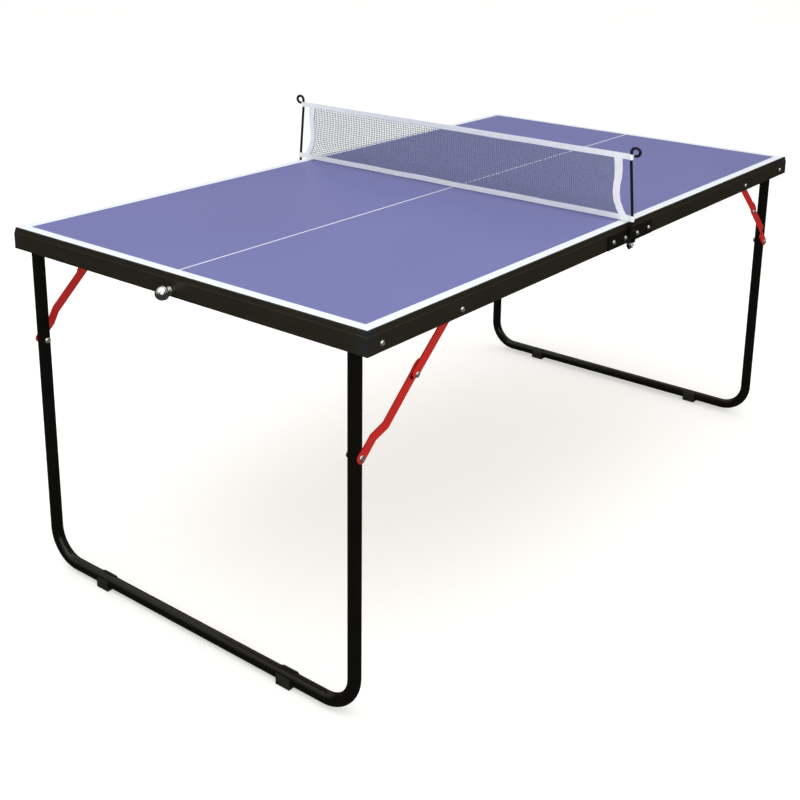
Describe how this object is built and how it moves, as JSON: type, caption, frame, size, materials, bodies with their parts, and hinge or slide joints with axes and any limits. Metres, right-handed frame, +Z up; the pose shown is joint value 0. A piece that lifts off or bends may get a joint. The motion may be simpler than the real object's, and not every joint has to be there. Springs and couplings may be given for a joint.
{
  "type": "ping pong table",
  "caption": "Folding mid-size ping pong table with hinged halves, folding tube legs with lock braces, a lift-out net on wire posts and a turn latch.",
  "frame": {"origin": "on the floor under the middle of the table's overall box", "axes": "+X along the table from the knob end to the other end, +Y from the near long side to the far one, +Z up"},
  "size_m": [1.548, 0.8578, 0.8047],
  "materials": {
    "blue_playing_surface": "blue painted board with a white border and a thin white centre line, satin",
    "black_rail": "near-black coated channel, satin with a warm sheen",
    "black_tube_paint": "gloss black paint on steel tube",
    "black_plastic": "moulded black plastic",
    "black_steel": "satin black pressed steel and wire",
    "red_paint": "red paint on flat steel strip",
    "zinc_steel": "zinc-plated steel",
    "chrome": "polished",
    "white_net": "woven white net"
  },
  "bodies": {
    "left_half": {"left_playing_board": "blue_playing_surface", "left_near_side_rail": "black_rail", "left_far_side_rail": "black_rail", "left_end_rail": "black_rail", "left_centre_rail": "black_rail", "left_near_corner_cap": "black_plastic", "left_far_corner_cap": "black_plastic", "left_near_leg_clamp": "zinc_steel", "left_far_leg_clamp": "zinc_steel", "left_near_brace_bracket": "zinc_steel", "left_far_brace_bracket": "zinc_steel", "left_near_hinge_leaf": "black_steel", "left_far_hinge_leaf": "black_steel", "near_hinge_pin": "zinc_steel", "far_hinge_pin": "zinc_steel", "near_net_socket": "black_steel", "far_net_socket": "black_steel"},
    "right_half": {"right_playing_board": "blue_playing_surface", "right_near_side_rail": "black_rail", "right_far_side_rail": "black_rail", "right_end_rail": "black_rail", "right_centre_rail": "black_rail", "right_near_corner_cap": "black_plastic", "right_far_corner_cap": "black_plastic", "right_near_leg_clamp": "zinc_steel", "right_far_leg_clamp": "zinc_steel", "right_near_brace_bracket": "zinc_steel", "right_far_brace_bracket": "zinc_steel", "right_near_hinge_leaf": "black_steel", "right_far_hinge_leaf": "black_steel", "latch_stud": "zinc_steel"},
    "net_set": {"net": "white_net", "near_net_post": "black_steel", "far_net_post": "black_steel"},
    "latch": {"latch_knob": "chrome", "latch_tongue": "zinc_steel"},
    "left_leg": {"left_leg_frame": "black_tube_paint", "left_leg_crossbar": "black_tube_paint", "left_near_foot": "black_plastic", "left_far_foot": "black_plastic", "left_near_leg_pin": "zinc_steel", "left_far_leg_pin": "zinc_steel"},
    "left_upper_braces": {"left_near_upper_brace_link": "red_paint", "left_far_upper_brace_link": "red_paint"},
    "left_lower_braces": {"left_near_lower_brace_link": "red_paint", "left_far_lower_brace_link": "red_paint"},
    "right_leg": {"right_leg_frame": "black_tube_paint", "right_leg_crossbar": "black_tube_paint", "right_near_foot": "black_plastic", "right_far_foot": "black_plastic", "right_near_leg_pin": "zinc_steel", "right_far_leg_pin": "zinc_steel"},
    "right_upper_braces": {"right_near_upper_brace_link": "red_paint", "right_far_upper_brace_link": "red_paint"},
    "right_lower_braces": {"right_near_lower_brace_link": "red_paint", "right_far_lower_brace_link": "red_paint"}
  },
  "joints": [
    {"name": "centre_fold", "type": "hinge", "parent": "left_half", "child": "right_half", "pos_m": [0.014, 0, 0.615], "axis": [0, 1, 0], "range_deg": [0, 90]},
    {"name": "left_leg_fold", "type": "hinge", "parent": "left_half", "child": "left_leg", "pos_m": [-0.727, 0, 0.6315], "axis": [0, -1, 0], "range_deg": [0, 90]},
    {"name": "left_upper_brace_fold", "type": "hinge", "parent": "left_half", "child": "left_upper_braces", "pos_m": [-0.519, 0, 0.6315], "axis": [0, -1, 0], "range_deg": [0, 139.2]},
    {"name": "left_lower_brace_fold", "type": "hinge", "parent": "left_leg", "child": "left_lower_braces", "pos_m": [-0.727, 0, 0.4515], "axis": [0, -1, 0], "range_deg": [-130.9, 0]},
    {"name": "right_leg_fold", "type": "hinge", "parent": "right_half", "child": "right_leg", "pos_m": [0.755, 0, 0.6315], "axis": [0, 1, 0], "range_deg": [0, 90]},
    {"name": "right_upper_brace_fold", "type": "hinge", "parent": "right_half", "child": "right_upper_braces", "pos_m": [0.547, 0, 0.6315], "axis": [0, 1, 0], "range_deg": [0, 139.2]},
    {"name": "right_lower_brace_fold", "type": "hinge", "parent": "right_leg", "child": "right_lower_braces", "pos_m": [0.755, 0, 0.4515], "axis": [0, 1, 0], "range_deg": [-130.9, 0]},
    {"name": "net_lift", "type": "slide", "parent": "left_half", "child": "net_set", "axis": [0, 0, 1], "range_m": [0, 0.04]},
    {"name": "latch_turn", "type": "hinge", "parent": "left_half", "child": "latch", "pos_m": [-0.746, 0, 0.63], "axis": [-1, 0, 0], "range_deg": [0, 90]}
  ],
  "couplings": [
    {"joint": "left_upper_brace_fold", "follows": "left_leg_fold", "ratio": 1.5459},
    {"joint": "left_lower_brace_fold", "follows": "left_leg_fold", "ratio": -1.4541},
    {"joint": "right_upper_brace_fold", "follows": "right_leg_fold", "ratio": 1.5459},
    {"joint": "right_lower_brace_fold", "follows": "right_leg_fold", "ratio": -1.4541}
  ]
}
